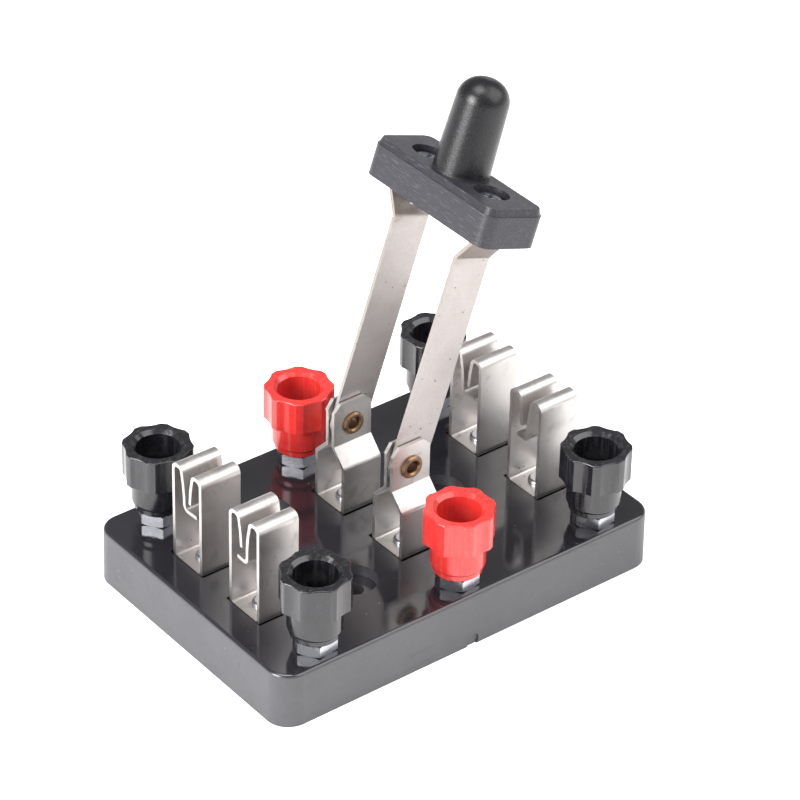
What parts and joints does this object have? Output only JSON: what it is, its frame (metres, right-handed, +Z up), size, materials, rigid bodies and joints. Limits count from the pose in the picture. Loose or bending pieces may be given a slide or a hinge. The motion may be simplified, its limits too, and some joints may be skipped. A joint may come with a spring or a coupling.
{
  "type": "knife blade switch",
  "caption": "Hand-operated double-throw knife switch: a hinged blade frame with a knob closes into spring clips at either end, beside screw-down terminal posts.",
  "frame": {"origin": "middle of the rectangular outline, on the plane of the base's lower rim", "axes": "+X along the base's long side, towards the end the open frame leans to; +Y along its short side; +Z up"},
  "size_m": [0.095, 0.0674, 0.1063],
  "materials": {
    "base_moulding": "polished black phenolic moulding",
    "handle_moulding": "black moulding, slightly scuffed",
    "black_cap": "glossy black plastic",
    "red_cap": "glossy translucent red plastic",
    "plated_strip": "bright nickel plate on bent strip",
    "blade_metal": "dull nickel plate with fine specks",
    "zinc_steel": "bright zinc plated steel",
    "brass_fittings": "aged brass",
    "link_metal": "plain brass strip"
  },
  "bodies": {
    "switch_base": {"base": "base_moulding", "jaw_clip_left_near": "plated_strip", "jaw_clip_left_far": "plated_strip", "jaw_clip_right_near": "plated_strip", "jaw_clip_right_far": "plated_strip", "hinge_bracket_near": "plated_strip", "hinge_bracket_far": "plated_strip", "pivot_rivet_near": "brass_fittings", "pivot_rivet_far": "brass_fittings", "post_bush_left_near": "black_cap", "post_bush_left_far": "black_cap", "post_bush_mid_near": "red_cap", "post_bush_mid_far": "red_cap", "post_bush_right_near": "black_cap", "post_bush_right_far": "black_cap", "post_nuts": "zinc_steel", "post_studs": "zinc_steel", "link_strips": "link_metal", "spring_washers": "zinc_steel", "lock_nuts": "zinc_steel", "foot_rivets": "brass_fittings"},
    "blade_frame": {"blade_near": "blade_metal", "blade_far": "blade_metal", "handle": "handle_moulding", "handle_screws": "zinc_steel"},
    "threaded_insert_left_near": {"cap_insert_left_near": "brass_fittings"},
    "clamp_cap_left_near": {"post_cap_left_near": "black_cap"},
    "threaded_insert_left_far": {"cap_insert_left_far": "brass_fittings"},
    "clamp_cap_left_far": {"post_cap_left_far": "black_cap"},
    "threaded_insert_mid_near": {"cap_insert_mid_near": "brass_fittings"},
    "clamp_cap_mid_near": {"post_cap_mid_near": "red_cap"},
    "threaded_insert_mid_far": {"cap_insert_mid_far": "brass_fittings"},
    "clamp_cap_mid_far": {"post_cap_mid_far": "red_cap"},
    "threaded_insert_right_near": {"cap_insert_right_near": "brass_fittings"},
    "clamp_cap_right_near": {"post_cap_right_near": "black_cap"},
    "threaded_insert_right_far": {"cap_insert_right_far": "brass_fittings"},
    "clamp_cap_right_far": {"post_cap_right_far": "black_cap"}
  },
  "joints": [
    {"name": "blade_swing", "type": "hinge", "parent": "switch_base", "child": "blade_frame", "pos_m": [0, 0, 0.0312], "axis": [0, 1, 0], "range_deg": [-109, 71]},
    {"name": "cap_rise_left_near", "type": "slide", "parent": "switch_base", "child": "threaded_insert_left_near", "axis": [0, 0, 1], "range_m": [0, 0.0032]},
    {"name": "cap_turn_left_near", "type": "hinge", "parent": "threaded_insert_left_near", "child": "clamp_cap_left_near", "pos_m": [-0.0353, -0.0264, 0.0226], "axis": [0, 0, 1], "range_deg": [0, 1441]},
    {"name": "cap_rise_left_far", "type": "slide", "parent": "switch_base", "child": "threaded_insert_left_far", "axis": [0, 0, 1], "range_m": [0, 0.0032]},
    {"name": "cap_turn_left_far", "type": "hinge", "parent": "threaded_insert_left_far", "child": "clamp_cap_left_far", "pos_m": [-0.0353, 0.0264, 0.0226], "axis": [0, 0, 1], "range_deg": [0, 1441]},
    {"name": "cap_rise_mid_near", "type": "slide", "parent": "switch_base", "child": "threaded_insert_mid_near", "axis": [0, 0, 1], "range_m": [0, 0.0032]},
    {"name": "cap_turn_mid_near", "type": "hinge", "parent": "threaded_insert_mid_near", "child": "clamp_cap_mid_near", "pos_m": [0, -0.0264, 0.0226], "axis": [0, 0, 1], "range_deg": [0, 1441]},
    {"name": "cap_rise_mid_far", "type": "slide", "parent": "switch_base", "child": "threaded_insert_mid_far", "axis": [0, 0, 1], "range_m": [0, 0.0032]},
    {"name": "cap_turn_mid_far", "type": "hinge", "parent": "threaded_insert_mid_far", "child": "clamp_cap_mid_far", "pos_m": [0, 0.0264, 0.0226], "axis": [0, 0, 1], "range_deg": [0, 1441]},
    {"name": "cap_rise_right_near", "type": "slide", "parent": "switch_base", "child": "threaded_insert_right_near", "axis": [0, 0, 1], "range_m": [0, 0.0032]},
    {"name": "cap_turn_right_near", "type": "hinge", "parent": "threaded_insert_right_near", "child": "clamp_cap_right_near", "pos_m": [0.0353, -0.0264, 0.0226], "axis": [0, 0, 1], "range_deg": [0, 1441]},
    {"name": "cap_rise_right_far", "type": "slide", "parent": "switch_base", "child": "threaded_insert_right_far", "axis": [0, 0, 1], "range_m": [0, 0.0032]},
    {"name": "cap_turn_right_far", "type": "hinge", "parent": "threaded_insert_right_far", "child": "clamp_cap_right_far", "pos_m": [0.0353, 0.0264, 0.0226], "axis": [0, 0, 1], "range_deg": [0, 1441]}
  ],
  "couplings": [
    {"joint": "cap_turn_left_near", "follows": "cap_rise_left_near", "rad_per_m": 7854},
    {"joint": "cap_turn_left_far", "follows": "cap_rise_left_far", "rad_per_m": 7854},
    {"joint": "cap_turn_mid_near", "follows": "cap_rise_mid_near", "rad_per_m": 7854},
    {"joint": "cap_turn_mid_far", "follows": "cap_rise_mid_far", "rad_per_m": 7854},
    {"joint": "cap_turn_right_near", "follows": "cap_rise_right_near", "rad_per_m": 7854},
    {"joint": "cap_turn_right_far", "follows": "cap_rise_right_far", "rad_per_m": 7854}
  ]
}
